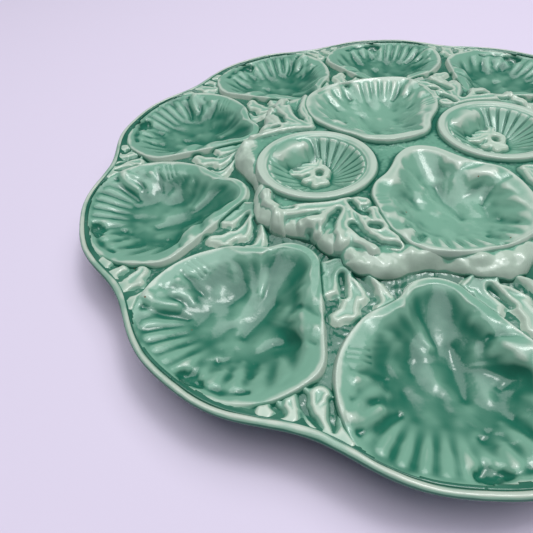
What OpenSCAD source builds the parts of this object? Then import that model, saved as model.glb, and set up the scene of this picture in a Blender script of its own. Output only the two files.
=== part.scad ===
// Oyster plate: a lobed, glazed earthenware platter with ten oyster wells round a raised
// centre that holds two more oyster wells and two sauce wells, with seaweed relief between.
// The frame has +Z up, the table at z = 0 and the middle of the foot ring at the origin.

/* [Plate] */
// Radius of the plate at the tip of a lobe
plate_r = 188; // [165:1:215]
// How far the edge draws in between two lobes
notch_depth = 5.5; // [3:0.5:7]
// Width of the rolled rim
rim_w = 5; // [4:0.5:6]
// Height of the rolled rim above the ground that it borders
rim_rise = 4; // [3:0.5:5]
// Thickness of the ground between the wells
ground_t = 6; // [5:0.5:7]
// Width of the bank where the ground climbs to the rim
bank_w = 3.5; // [2.5:0.5:5]
// Height of that bank above the ground
bank_rise = 2.5; // [1.5:0.5:3]

/* [Oyster wells] */
// Depth of a well from its crest to its floor
well_depth = 14; // [11:0.5:16]
// Thickness of the clay under a well's floor
well_floor_t = 5; // [4:0.5:6]
// Height of a well's crest above the ground round it
crest_rise = 5; // [3.5:0.5:6]
// Height of the crest's round shoulder
shoulder_h = 1.4; // [1:0.1:2]
// Half the height of a flute, from its middle to its ridge
flute_h = 1.2; // [0.4:0.1:1.5]
// Height of the fold that runs in from the crest
fold_h = 3; // [1.5:0.5:4]
// Depth of the dark pit under the rim end of a well
pit_h = 3.5; // [2:0.5:4]

/* [Raised centre] */
// Radius of the raised centre
centre_r = 98; // [94:1:99]
// Height of the centre's crests above the outer crests
centre_rise = 10; // [6:0.5:12]
// Thickness of the centre's ground
centre_t = 7; // [6:0.5:8]
// Thickness of the wall that carries the centre
centre_wall = 6; // [5:0.5:6.5]
// Radius of the centre's rounded edge
centre_edge_r = 3; // [2:0.5:4]
// Depth of a sauce well from its ring to its floor
sauce_depth = 12; // [9:0.5:13]

/* [Foot] */
// Clear height under the lowest well
under_gap = 8; // [6:0.5:11]
// Width of the foot ring where it meets the table
foot_w = 5; // [4:0.5:5.5]

/* [Relief] */
// Height of the seaweed fronds above the ground
frond_h = 3; // [2:0.25:3.5]
// How far the upper tier of a frond is set in
frond_step = 0.9; // [0.6:0.1:1.1]

/* [Hidden] */

well_count = 10;
// Places in that list of the first ground web and of the first outer well
first_web = 12;
first_well = 22;
pitch = 360 / well_count;
// Steps of the plate's outline in each lobe
lobe_steps = 12;
// Exponent that sharpens the notch between two lobes
notch_power = 2.5;
// What the cutting shapes run past the faces that they cut
overrun = 1;

// Heights above the table, from the bottom up
well_under_z = under_gap;
outer_crest_z = well_under_z + well_floor_t + well_depth;
ground_z = outer_crest_z - crest_rise;
ground_under_z = ground_z - ground_t;
centre_crest_z = outer_crest_z + centre_rise;
centre_ground_z = centre_crest_z - crest_rise;
centre_under_z = centre_ground_z - centre_t;
foot_inset_share = 0.2;
foot_outer_r = centre_r - foot_w * foot_inset_share;

// Shares below are of the drawn plate's radius. These three are the drawn raised centre, the
// inside of the drawn rim and the depth of its notches. A drawn place between the centre and
// the rim keeps its way from the one real edge to the other
drawn_centre_share = 0.53;
drawn_rim_share = 0.973;
drawn_notch_share = 0.03;
drawn_r = centre_r / drawn_centre_share;

// Reach of each well's outline from its own middle, every 15 degrees anticlockwise from its
// right side, as shares of the drawn plate's radius
outer_reach_shares = [0.222, 0.250, 0.279, 0.284, 0.264, 0.249, 0.245, 0.247,
    0.252, 0.259, 0.262, 0.248, 0.207, 0.173, 0.158, 0.160,
    0.168, 0.175, 0.176, 0.172, 0.166, 0.165, 0.175, 0.198];
back_reach_shares = [0.231, 0.249, 0.267, 0.275, 0.260, 0.246, 0.240, 0.250,
    0.258, 0.263, 0.255, 0.242, 0.230, 0.213, 0.203, 0.200,
    0.215, 0.222, 0.220, 0.222, 0.216, 0.196, 0.198, 0.213];
front_reach_shares = [0.210, 0.206, 0.186, 0.178, 0.195, 0.226, 0.240, 0.224,
    0.197, 0.190, 0.207, 0.216, 0.216, 0.229, 0.246, 0.253,
    0.249, 0.240, 0.235, 0.239, 0.243, 0.240, 0.226, 0.215];
// Middles of the wells
outer_middle_share = [0.01, 0.72];
back_middle_share = [0, 0.25];
front_middle_share = [0, -0.25];
sauce_left_share = [-0.30, 0];
sauce_right_share = [0.30, 0];
sauce_reach_share = 0.185;
// How far the floor of a sauce well lies off its middle
sauce_lean_share = [-0.01, -0.01];
// Where the pits and the folds lie
outer_pit_share = [-0.03, 0.925];
back_pit_share = [-0.04, 0.44];
front_pit_share = [-0.02, -0.45];
pit_size_share = 0.026;
outer_fold_share = [[0.10, 0.60], [0.02, 0.71]];
back_fold_share = [[0.13, 0.10], [0.03, 0.17]];
front_fold_share = [[0.16, -0.17], [0.06, -0.26]];
fold_size_share = 0.022;

// Rings of a well's upper face and underside, as shares of the way out from its middle
oyster_ring_shares = [1, 0.972, 0.94, 0.88, 0.78, 0.64, 0.46, 0.24];
sauce_ring_shares = [1, 0.965, 0.93, 0.885, 0.85, 0.78, 0.68, 0.55];
under_ring_shares = [1, 0.8, 0.45];
// Exponent of a well's bowl, which is steep at the crest and flat on the floor
bowl_power = 3.2;
under_power = 3;
// Where the ring of a sauce well ends and its cup begins
sauce_ring_share = 0.885;
sauce_floor_share = 0.55;

// Angles where a well's outline has points: two for each flute and fewer elsewhere
outer_fan = [-20, 150, 11, 16];
back_fan = [-35, 190, 13, 14];
front_fan = [170, 200, 13, 14];
sauce_fan = [-120, 240, 15, 10];
// Where the flutes begin and end on the way out
flute_in_share = 0.3;
flute_out_share = 0.93;
flute_width_share = 0.25;

// 0 at the tip of a lobe and 1 in the notch between two
function notch(angle) = pow(abs(sin(angle * well_count / 2)), notch_power);

// Edge of the plate at an angle, drawn in by a distance
function edge_r(angle, inset) = plate_r - inset - notch_depth * notch(angle);

function edge_outline(inset) =
    [for (i = [0 : well_count * lobe_steps - 1])
        let (angle = i * pitch / lobe_steps)
        edge_r(angle, inset) * [cos(angle), sin(angle)]];

// Smooth value at a place in a closed table, by a cubic through four neighbours
function cubic(a, b, c, d, t) =
    b + t * ((c - a) + t * ((2 * a - 5 * b + 4 * c - d) + t * (3 * (b - c) + d - a))) / 2;

function around(table, angle) =
    let (n = len(table), place = (angle / 360 - floor(angle / 360)) * n, i = floor(place))
    cubic(table[(i + n - 1) % n], table[i % n], table[(i + 1) % n], table[(i + 2) % n],
        place - i);

// Angles of a well's outline, from its fan: first angle, sweep, flutes and plain points
function fan_angles(fan) = concat(
    [for (i = [0 : 2 * fan[2] - 1]) fan[0] + i * fan[1] / (2 * fan[2])],
    [for (i = [0 : fan[3] - 1]) fan[0] + fan[1] + i * (360 - fan[1]) / fan[3]]);

// 1 on a flute's ridge, -1 in its trough and 0 where the well is plain
function flute_sign(fan, i) = i == 0 || i >= 2 * fan[2] ? 0 : (i % 2 == 0 ? 1 : -1);

// Real place of a drawn one among the outer wells, with a lobe's tip at an angle
function on_band(p, lobe) =
    let (angle = atan2(p[1], p[0]) - lobe,
        drawn_edge = drawn_rim_share - drawn_notch_share * notch(angle),
        way = (norm(p) - drawn_centre_share) / (drawn_edge - drawn_centre_share))
    (centre_r + way * (edge_r(angle, rim_w) - centre_r)) * p / norm(p);

// Outline of an oyster well on the drawn plate
function well_outline(middle, shares, fan) =
    [for (angle = fan_angles(fan)) middle + around(shares, angle) * [cos(angle), sin(angle)]];

function outer_outline() =
    [for (p = well_outline(outer_middle_share, outer_reach_shares, outer_fan)) on_band(p, 90)];

function back_outline() =
    drawn_r * well_outline(back_middle_share, back_reach_shares, back_fan);

function front_outline() =
    drawn_r * well_outline(front_middle_share, front_reach_shares, front_fan);

function sauce_outline(middle) =
    [for (angle = fan_angles(sauce_fan))
        middle + drawn_r * sauce_reach_share * [cos(angle), sin(angle)]];

// A soft bump that is 1 at no distance and fades with it
function bump(distance, size) = exp(-pow(distance / size, 2));

function to_segment(p, a, b) =
    let (t = max(0, min(1, (p - a) * (b - a) / ((b - a) * (b - a))))) norm(p - a - t * (b - a));

function flute_fade(s) =
    bump(max(0, flute_in_share + flute_width_share - s), flute_width_share / 2)
    * (s < flute_out_share ? 1 : 0);

// Depth below the crest in an oyster well, at a share of the way out and a place
function oyster_drop(s, p, sign, pit, fold) =
    s == 1 ? shoulder_h
    : s > flute_out_share ? shoulder_h * (s > 0.96 ? 0.15 : 0.3)
    : well_depth * (1 - pow(s, bowl_power))
        - flute_h * sign * flute_fade(s)
        - fold_h * bump(to_segment(p, fold[0], fold[1]), drawn_r * fold_size_share)
            * (1 - pow(s, 2 * bowl_power))
        + pit_h * bump(norm(p - pit), drawn_r * pit_size_share);

// Inside the ring, the rings of the cup shrink towards its low point alone
function sauce_ring(s) = s < sauce_ring_share ? sauce_ring_share : s;

// Depth below the ring in a sauce well, which has a flat floor for its sprig
function sauce_drop(s, sign) =
    s == 1 ? shoulder_h
    : s > sauce_ring_share ? shoulder_h * (s > 0.95 ? 0.2 : 0)
    : s == sauce_ring_share ? shoulder_h * 0.6
    : let (t = (s - sauce_floor_share) / (sauce_ring_share - sauce_floor_share))
        sauce_depth * (1 - pow(max(0, t), 2) * 0.8)
        - flute_h * sign * (s > sauce_floor_share && s < sauce_ring_share ? 1 : 0);

// A closed bowl from its rings: tops and unders are lists of rings from the edge inwards
module bowl(tops, top_middle, unders, under_middle) {
    n = len(tops[0]);
    upper = len(tops) * n;
    lower = upper + 1;
    last = lower + len(unders) * n;
    points = concat([for (ring = tops) each ring], [top_middle],
        [for (ring = unders) each ring], [under_middle]);
    faces = concat(
        [for (j = [0 : len(tops) - 2]) for (i = [0 : n - 1])
            let (k = (i + 1) % n, a = j * n)
            each [[a + i, a + n + i, a + n + k], [a + i, a + n + k, a + k]]],
        [for (i = [0 : n - 1]) [upper - n + i, upper, upper - n + (i + 1) % n]],
        [for (i = [0 : n - 1])
            let (k = (i + 1) % n) [i, k, lower + k, lower + i]],
        [for (j = [0 : len(unders) - 2]) for (i = [0 : n - 1])
            let (k = (i + 1) % n, a = lower + j * n)
            each [[a + i, a + k, a + n + k], [a + i, a + n + k, a + n + i]]],
        [for (i = [0 : n - 1]) [last - n + i, last - n + (i + 1) % n, last]]);
    polyhedron(points, faces);
}

// An oyster well on its outline, with its crest at a height and its band above a height
module oyster_well(outline, middle, fan, crest_z, band_z, pit, fold) {
    n = len(outline);
    under_z = crest_z - well_depth - well_floor_t;
    tops = [for (s = oyster_ring_shares)
        [for (i = [0 : n - 1])
            let (p = middle + s * (outline[i] - middle))
            [p[0], p[1], crest_z - oyster_drop(s, p, flute_sign(fan, i), pit, fold)]]];
    unders = [for (s = under_ring_shares)
        [for (q = outline)
            let (p = middle + s * (q - middle))
            [p[0], p[1], under_z + (band_z - under_z) * pow(s, under_power)]]];
    bowl(tops, [middle[0], middle[1], crest_z - oyster_drop(0, middle, 0, pit, fold)],
        unders, [middle[0], middle[1], under_z]);
}

module sauce_well(middle) {
    outline = sauce_outline(middle);
    n = len(outline);
    low = middle + drawn_r * sauce_lean_share;
    under_z = centre_crest_z - sauce_depth - well_floor_t;
    tops = [for (s = sauce_ring_shares)
        [for (i = [0 : n - 1])
            let (lean = s < sauce_ring_share ? (sauce_ring_share - s) / sauce_ring_share : 0,
                p = (1 - lean) * (middle + sauce_ring(s) * (outline[i] - middle)) + lean * low)
            [p[0], p[1], centre_crest_z - sauce_drop(s, flute_sign(sauce_fan, i))]]];
    unders = [for (s = under_ring_shares)
        [for (q = outline)
            let (p = middle + s * (q - middle))
            [p[0], p[1], under_z + (centre_under_z - under_z) * pow(s, under_power)]]];
    bowl(tops, [low[0], low[1], centre_crest_z - sauce_depth],
        unders, [middle[0], middle[1], under_z]);
}

// The outline of an outer well with its rim end up
module outer_window() polygon(outer_outline());

// The outlines of all the wells of one kind, which cut the ground that carries them
module outer_windows()
    for (i = [0 : well_count - 1]) rotate(i * pitch - 90) outer_window();

module centre_windows() {
    polygon(back_outline());
    polygon(front_outline());
    polygon(sauce_outline(drawn_r * sauce_left_share));
    polygon(sauce_outline(drawn_r * sauce_right_share));
}

// A slice of the plane from one lobe's tip to the next one's
module lobe_slice(i) {
    slice_r = (plate_r + overrun) / cos(pitch / 4);
    rotate(i * pitch)
        polygon([[0, 0], for (turn = [0, pitch / 2, pitch]) slice_r * [cos(turn), sin(turn)]]);
}

// The ground between an outer well and the next, with the bank that climbs to the rim
module ground_web(i) color("#5aa085") {
    translate([0, 0, ground_under_z]) linear_extrude(ground_t) intersection() {
        lobe_slice(i);
        difference() {
            polygon(edge_outline(rim_w));
            outer_windows();
            circle(centre_r, $fn = 120);
        }
    }
    translate([0, 0, ground_z]) linear_extrude(bank_rise) intersection() {
        lobe_slice(i);
        difference() {
            polygon(edge_outline(rim_w));
            polygon(edge_outline(rim_w + bank_w));
            outer_windows();
        }
    }
}

// The rim's section goes round from the foot of its inner face, as shares of its width
// inwards from the edge and of its height above the underside
module rolled_rim() color("#c3d9c6") {
    rim_h = ground_t + rim_rise;
    section_shares = [[1, 0], [0.25, 0.17], [0, 0.42], [0, 0.68], [0.22, 0.93],
        [0.5, 1], [0.78, 0.95], [1, (ground_t + bank_rise) / rim_h]];
    m = len(section_shares);
    n = well_count * lobe_steps;
    points = [for (i = [0 : n - 1]) for (share = section_shares)
        let (angle = i * pitch / lobe_steps, r = edge_r(angle, share[0] * rim_w))
        [r * cos(angle), r * sin(angle), ground_under_z + share[1] * rim_h]];
    faces = [for (i = [0 : n - 1]) for (j = [0 : m - 1])
        let (a = i * m, b = ((i + 1) % n) * m, k = (j + 1) % m)
        each j == m - 1 ? [[a + j, a + k, b + k, b + j]]
            : [[a + j, a + k, b + k], [a + j, b + k, b + j]]];
    polyhedron(points, faces);
}

module foot_ring() color("#8fb7a0") {
    foot_top_w = centre_wall;
    toe_r = foot_w / 4;
    rotate_extrude($fn = 120) {
        difference() {
            polygon([[centre_r, ground_under_z], [centre_r - foot_top_w, ground_under_z],
                [foot_outer_r - foot_w, 0], [foot_outer_r, 0]]);
            translate([foot_outer_r - foot_w, 0]) rotate(45) square(toe_r, center = true);
            translate([foot_outer_r, 0]) rotate(45) square(toe_r, center = true);
        }
    }
}

module raised_centre() color("#6aa98d") {
    difference() {
        rotate_extrude($fn = 120) {
            translate([0, centre_under_z]) square([centre_r - centre_edge_r, centre_t]);
            translate([centre_r - centre_wall, ground_under_z])
                square([centre_wall, centre_ground_z - centre_edge_r - ground_under_z]);
            translate([centre_r - centre_edge_r, centre_ground_z - centre_edge_r])
                circle(centre_edge_r, $fn = 32);
        }
        translate([0, 0, centre_under_z - overrun])
            linear_extrude(centre_t + 2 * overrun) centre_windows();
    }
}

module outer_well(i) color("#7fb79c") {
    rotate(i * pitch - 90)
        oyster_well(outer_outline(), on_band(outer_middle_share, 90), outer_fan,
            outer_crest_z, ground_under_z, on_band(outer_pit_share, 90),
            [for (p = outer_fold_share) on_band(p, 90)]);
}

module centre_well_back() color("#7fb79c")
    oyster_well(back_outline(), drawn_r * back_middle_share, back_fan, centre_crest_z,
        centre_under_z, drawn_r * back_pit_share, drawn_r * back_fold_share);

module centre_well_front() color("#7fb79c")
    oyster_well(front_outline(), drawn_r * front_middle_share, front_fan, centre_crest_z,
        centre_under_z, drawn_r * front_pit_share, drawn_r * front_fold_share);

module sauce_well_left() color("#86bda3") sauce_well(drawn_r * sauce_left_share);

module sauce_well_right() color("#86bda3") sauce_well(drawn_r * sauce_right_share);

// Root and tip of a drawn blade of seaweed, among the outer wells or on the centre
function blade_ends(shares, banded) =
    [for (p = [[shares[0], shares[1]], [shares[2], shares[3]]])
        banded ? on_band(p, 90 - pitch / 2) : drawn_r * p];

// Outline of a blade, drawn in by a distance. Its last two shares are half its widths at
// its root and at its tip
function blade(shares, banded, inset) =
    let (ends = blade_ends(shares, banded), a = ends[0], b = ends[1],
        wa = max(inset / 4, drawn_r * shares[4] - inset),
        wb = max(inset / 4, drawn_r * shares[5] - inset),
        turn = atan2(b[1] - a[1], b[0] - a[0]))
    concat([for (step = [-90 : 30 : 90]) b + wb * [cos(turn + step), sin(turn + step)]],
        [for (step = [90 : 60 : 270]) a + wa * [cos(turn + step), sin(turn + step)]]);

// Fronds in two tiers, cut by the children
module fronds(blades, banded) {
    for (tier = [0, 1])
        linear_extrude(frond_h * (tier == 0 ? 0.6 : 1))
            difference() {
                for (shares = blades) polygon(blade(shares, banded, tier * frond_step));
                children();
            }
}

// Blades of the sprays between two outer wells, with the rim up: one spray by the rim and
// one by the raised centre
rim_blade_shares = [
    [0.020, 0.920, 0.018, 0.885, 0.016, 0.018],
    [0.018, 0.905, -0.008, 0.872, 0.012, 0.014],
    [0.020, 0.895, 0.030, 0.855, 0.013, 0.015],
    [0.020, 0.912, -0.048, 0.910, 0.011, 0.012],
    [0.020, 0.910, 0.095, 0.915, 0.011, 0.012],
    [0.055, 0.910, 0.052, 0.880, 0.011, 0.012]];
web_blade_shares = [
    [0.045, 0.560, 0.015, 0.685, 0.020, 0.016],
    [0.020, 0.640, -0.018, 0.655, 0.014, 0.014],
    [0.030, 0.600, -0.022, 0.612, 0.016, 0.016],
    [0.040, 0.572, -0.035, 0.572, 0.014, 0.016],
    [0.045, 0.560, 0.066, 0.625, 0.012, 0.014],
    [0.045, 0.556, 0.100, 0.560, 0.012, 0.012],
    [0.010, 0.560, -0.085, 0.556, 0.010, 0.011]];
// Blades on the left half of the raised centre, which its right half repeats half a turn on
centre_blade_shares = [
    [-0.235, 0.215, -0.330, 0.225, 0.014, 0.014],
    [-0.320, 0.224, -0.435, 0.210, 0.013, 0.016],
    [-0.325, 0.228, -0.385, 0.285, 0.013, 0.016],
    [-0.295, 0.225, -0.340, 0.330, 0.013, 0.016],
    [-0.265, 0.220, -0.295, 0.388, 0.013, 0.015],
    [-0.270, 0.290, -0.255, 0.410, 0.011, 0.013],
    [-0.275, -0.210, -0.285, -0.300, 0.014, 0.014],
    [-0.280, -0.240, -0.248, -0.385, 0.016, 0.018],
    [-0.285, -0.290, -0.298, -0.385, 0.014, 0.016],
    [-0.285, -0.250, -0.350, -0.335, 0.013, 0.016],
    [-0.280, -0.225, -0.375, -0.275, 0.014, 0.017],
    [-0.275, -0.214, -0.440, -0.208, 0.013, 0.016],
    [-0.420, -0.205, -0.462, -0.130, 0.011, 0.012]];
// Blades of the sprig on the floor of a sauce well, from the well's middle
sprig_blade_shares = [
    [0.028, 0.070, 0.005, 0.010, 0.009, 0.012],
    [0.020, 0.045, -0.035, 0.055, 0.011, 0.012],
    [0.005, 0.025, -0.062, 0.030, 0.012, 0.012],
    [0.005, 0.010, -0.002, -0.035, 0.012, 0.014],
    [-0.005, -0.010, -0.035, -0.018, 0.010, 0.010],
    [0.005, -0.025, 0.036, 0.015, 0.010, 0.012]];

// Both sprays between two outer wells stop at the wells' outlines, the outer spray also at
// the bank by the rim and the inner one at the raised centre
module rim_fronds() color("#b7d6c2")
    for (i = [0 : well_count - 1])
        rotate((i + 0.5) * pitch - 90) translate([0, 0, ground_z])
            fronds(rim_blade_shares, true) {
                rotate(pitch / 2) outer_window();
                rotate(-pitch / 2) outer_window();
                difference() {
                    circle(plate_r);
                    rotate(90 - pitch / 2) polygon(edge_outline(rim_w + bank_w));
                }
            }

module web_fronds() color("#b7d6c2")
    for (i = [0 : well_count - 1])
        rotate((i + 0.5) * pitch - 90) translate([0, 0, ground_z])
            fronds(web_blade_shares, true) {
                rotate(pitch / 2) outer_window();
                rotate(-pitch / 2) outer_window();
                circle(centre_r, $fn = 120);
            }

module centre_fronds() color("#b7d6c2")
    for (turn = [0, 180])
        rotate(turn) translate([0, 0, centre_ground_z])
            fronds(centre_blade_shares, false) rotate(-turn) centre_windows();

module sauce_sprig(middle)
    translate([middle[0], middle[1], centre_crest_z - sauce_depth])
        fronds(sprig_blade_shares, false);

module sauce_sprig_left() color("#c9dfcd") sauce_sprig(drawn_r * sauce_left_share);

module sauce_sprig_right() color("#c9dfcd") sauce_sprig(drawn_r * sauce_right_share);

rolled_rim();
foot_ring();
raised_centre();
for (i = [0 : well_count - 1])
    ground_web(i);
for (i = [0 : well_count - 1])
    outer_well(i);
centre_well_back();
centre_well_front();
sauce_well_left();
sauce_well_right();
sauce_sprig_left();
sauce_sprig_right();
rim_fronds();
web_fronds();
centre_fronds();
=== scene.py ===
# %% [markdown]
# # Oyster plate in green majolica glaze
# The real plate is one pressed clay casting. Its relief is what it is about: shell wells with
# scalloped flutes, seaweed between them, and a glaze that runs off the ridges and pools in the
# hollows. Each region of the casting becomes a piece of its own here. A piece starts as a plain
# blank made by a bmesh operator, and is then carved by height rules that are written as strokes
# of a modelling tool, because a carved blank has the soft, merged forms of pressed clay.

import math

import bmesh
import bpy
import numpy as np
from mathutils import Matrix, Vector


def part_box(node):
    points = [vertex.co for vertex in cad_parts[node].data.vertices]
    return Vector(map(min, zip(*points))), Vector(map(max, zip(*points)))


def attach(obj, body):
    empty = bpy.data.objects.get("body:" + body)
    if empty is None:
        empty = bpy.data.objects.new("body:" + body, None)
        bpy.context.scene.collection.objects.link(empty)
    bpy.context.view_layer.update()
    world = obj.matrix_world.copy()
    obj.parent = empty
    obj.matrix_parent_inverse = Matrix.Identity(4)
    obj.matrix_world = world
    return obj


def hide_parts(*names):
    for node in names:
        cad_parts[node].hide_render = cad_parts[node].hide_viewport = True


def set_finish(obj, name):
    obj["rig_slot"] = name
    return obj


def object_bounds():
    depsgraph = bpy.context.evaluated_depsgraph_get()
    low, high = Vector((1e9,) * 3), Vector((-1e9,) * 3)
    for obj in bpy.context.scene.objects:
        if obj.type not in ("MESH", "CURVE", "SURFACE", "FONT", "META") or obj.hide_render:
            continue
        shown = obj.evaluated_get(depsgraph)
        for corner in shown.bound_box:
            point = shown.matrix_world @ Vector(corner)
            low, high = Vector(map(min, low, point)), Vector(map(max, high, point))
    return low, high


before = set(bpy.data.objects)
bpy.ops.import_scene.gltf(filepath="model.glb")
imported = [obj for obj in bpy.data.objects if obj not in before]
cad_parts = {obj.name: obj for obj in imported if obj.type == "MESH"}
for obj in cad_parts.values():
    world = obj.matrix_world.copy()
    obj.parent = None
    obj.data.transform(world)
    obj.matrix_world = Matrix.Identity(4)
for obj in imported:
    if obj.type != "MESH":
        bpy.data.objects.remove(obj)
cad_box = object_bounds()
PLATE_R = cad_box[1][0]  # radius at a lobe's tip, in metres
MM = 0.001
print("plate radius", round(PLATE_R, 4))

# %% [markdown]
# ## Levels and plan
# Plan places are shares of the drawn plate's radius, so the drawing reads like a pattern sheet.
# Tables write them in thousandths. Heights are in millimetres above the table. The crests and the
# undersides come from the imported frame. The ground lies a little under the crests, so that the
# weed on it comes up to them.

# %% Levels from the frame
CENTRE_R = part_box("raised_centre")[1][0] / MM
DRAWN_R = CENTRE_R / 0.53  # millimetres for each share: the raised centre's radius is 0.53
OUTER_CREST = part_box("outer_well_01")[1][2] / MM - 0.4
CENTRE_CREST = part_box("centre_well_back")[1][2] / MM - 0.5
OVER_CREST = 0.4  # how far relief may stand above a crest
GROUND_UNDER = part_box("ground_web_01")[0][2] / MM
OUTER_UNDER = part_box("outer_well_01")[0][2] / MM
CENTRE_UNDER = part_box("centre_well_back")[0][2] / MM
RIM_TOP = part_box("rolled_rim")[1][2] / MM
OUTER_GROUND = OUTER_CREST - 3.2
CENTRE_GROUND = CENTRE_CREST - 2.4
CENTRE_T = 7.0  # thickness of the clay of the raised centre
MIN_CLAY = 2.5  # thickness of the thinnest clay in a well
CENTRE_BAND = 7.0  # height of the band round the underside of a well in the centre
EDGE_DIP = 0.5  # how far a piece's edge dips under the ground
print("crests", OUTER_CREST, CENTRE_CREST, "one share is", round(DRAWN_R, 1), "mm")

# %% [markdown]
# ## The plan of the wells
# An oyster shell has no simple outline, so each outline is a closed table of how far it reaches
# from the well's own middle, every fifteen degrees. A cubic through the neighbours makes it
# smooth. The outer wells share one table, because one mould pressed them all. Inside the crest
# runs a smooth lip, whose width changes round the shell.

# %% Outline tables
def thousandths(table):
    """A table that is written in thousandths, with its lists and tuples kept, as shares."""
    if isinstance(table, (list, tuple)):
        return type(table)(thousandths(entry) for entry in table)
    return table / 1000


OUTER_REACH = thousandths([228, 252, 276, 300, 301, 288, 283, 284, 289, 289, 277, 259, 210, 180,
                           168, 167, 178, 203, 211, 200, 172, 172, 190, 206])
BACK_REACH = thousandths([231, 249, 267, 275, 260, 246, 240, 250, 258, 263, 255, 242, 230, 213,
                          203, 200, 215, 222, 220, 222, 216, 196, 198, 213])
FRONT_REACH = thousandths([210, 206, 186, 178, 195, 226, 240, 224, 197, 190, 207, 216, 216, 229,
                           246, 253, 249, 240, 235, 239, 243, 240, 226, 215])
SAUCE_R = 0.185
SAUCE_REACH = [SAUCE_R] * 24
LIP_WIDTH = [8.0, 6.5, 3.5, 2.5, 3.5, 7.0, 9.0, 7.0, 4.0, 3.0, 3.5, 6.0]  # mm, every 30 degrees
OUTER_MIDDLE = (0.01, 0.72)
BACK_MIDDLE = (0.0, 0.25)
FRONT_MIDDLE = (0.0, -0.25)
SAUCE_MIDDLES = {"left": (-0.30, 0.0), "right": (0.30, 0.0)}
WELL_COUNT = 10
PITCH = 2 * math.pi / WELL_COUNT
NEAR = 0.05  # how far to either side a slope is measured, in radians
NOTCH_DEPTH, NOTCH_WIDTH = 8.6, 3.4  # millimetres, and a power: the higher, the narrower
CENTRE_EDGE, CENTRE_BULGE = 0.526, 0.026  # mean radius of the raised centre, and its swing
print("an outer well reaches", round(min(OUTER_REACH) * DRAWN_R), "to",
      round(max(OUTER_REACH) * DRAWN_R), "mm from its middle")


def around(table, angle):
    """Smooth value of a closed table at an angle, by a cubic through four neighbours."""
    table = np.asarray(table)
    n = len(table)
    place = np.mod(angle / (2 * math.pi), 1.0) * n
    i = np.floor(place).astype(int)
    t = place - i
    a, b, c, d = (table[(i + k) % n] for k in (-1, 0, 1, 2))
    return b + t * ((c - a) + t * ((2 * a - 5 * b + 4 * c - d) + t * (3 * (b - c) + d - a))) / 2


def well_way(u, v, middle, table):
    """Share of the way from a well's middle to its outline, and the room there in mm."""
    x, y = u - middle[0], v - middle[1]
    angle = np.arctan2(y, x)
    reach = around(table, angle)
    slope = (around(table, angle + NEAR) - around(table, angle - NEAR)) / (2 * NEAR)
    lean = reach / np.hypot(reach, slope)
    return np.hypot(x, y) / reach, reach * lean * DRAWN_R


def inside_well(u, v, middle, table):
    """Millimetres inside a well's outline."""
    way, room = well_way(u, v, middle, table)
    return (1 - way) * room


def lobe_notch(angle):
    """0 at the tips of the lobes and 1 in the notches between them."""
    return np.abs(np.sin(angle * WELL_COUNT / 2)) ** NOTCH_WIDTH


def edge_radius(angle):
    """Radius of the lobed edge in millimetres: lobes at multiples of a tenth of a turn."""
    return PLATE_R / MM - NOTCH_DEPTH * lobe_notch(angle)


def centre_edge(angle):
    """Radius of the raised centre's edge, which bulges out between the outer wells."""
    uneven = 0.8 * noise(np.cos(angle), np.sin(angle), 0.07, 15)
    return (CENTRE_EDGE - CENTRE_BULGE * np.cos(WELL_COUNT * angle)) * DRAWN_R + uneven


# %% [markdown]
# ## Small shaping tools
# These are the modelling tools: a smooth step, a soft bump, polar places, a turn about the
# plate's middle, a stroke drawn along a line of places, and an even noise that stands for the
# marks of the hand and of the clay.

# %% Smooth step, stroke and noise
def smooth(low, high, x):
    t = np.clip((x - low) / (high - low), 0.0, 1.0)
    return t * t * (3 - 2 * t)


def bell(x, width):
    return np.exp(-((x / width) ** 2))


def polar(x, y):
    return np.hypot(x, y), np.arctan2(y, x)


def from_polar(radius, angle):
    return radius * np.cos(angle), radius * np.sin(angle)


def turned(x, y, angle):
    """A place turned about the plate's middle."""
    c, s = math.cos(angle), math.sin(angle)
    return x * c - y * s, x * s + y * c


def to_line(u, v, places):
    """Distance in plan to a line of places, and how far along it the nearest point is."""
    best = np.full(np.shape(u), 1e9)
    along = np.zeros(np.shape(u))
    for k, ((ax, ay), (bx, by)) in enumerate(zip(places, places[1:])):
        dx, dy = bx - ax, by - ay
        t = np.clip(((u - ax) * dx + (v - ay) * dy) / (dx * dx + dy * dy), 0, 1)
        d = np.hypot(u - ax - t * dx, v - ay - t * dy)
        nearer = d < best
        best = np.where(nearer, d, best)
        along = np.where(nearer, (k + t) / (len(places) - 1), along)
    return best, along


def stroke(u, v, places, width, height):
    """A ridge (or a valley, if its height is negative) along a line, thinner at both ends."""
    d, along = to_line(u, v, places)
    taper = 0.55 + 0.45 * np.sin(math.pi * np.clip(along, 0.02, 0.98))
    return height * bell(d, width * taper)


def strokes(table):
    """Rows of a line, its width and its height: thousandths but for the height, which is in mm."""
    return [(thousandths(line), width / 1000, height) for line, width, height in table]


def noise(x, y, scale, seed):
    """Even value noise from -1 to 1 with features about one scale wide."""
    lattice = np.random.default_rng(seed).uniform(-1, 1, (256, 256))
    x, y = np.asarray(x) / scale + 57.0, np.asarray(y) / scale + 31.0
    i, j = np.floor(x).astype(int), np.floor(y).astype(int)
    fx, fy = x - i, y - j
    fx, fy = fx * fx * (3 - 2 * fx), fy * fy * (3 - 2 * fy)
    i, j = i % 256, j % 256
    k, m = (i + 1) % 256, (j + 1) % 256
    low = lattice[i, j] * (1 - fx) + lattice[k, j] * fx
    high = lattice[i, m] * (1 - fx) + lattice[k, m] * fx
    return low * (1 - fy) + high * fy


# %% [markdown]
# ## The ground's height
# Between the wells the ground lies low. It climbs in a bank where it meets the rim and the
# raised centre, which ends in a lumpy cord. Other pieces ask for these heights too, so that
# their edges dip just under them.

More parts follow.
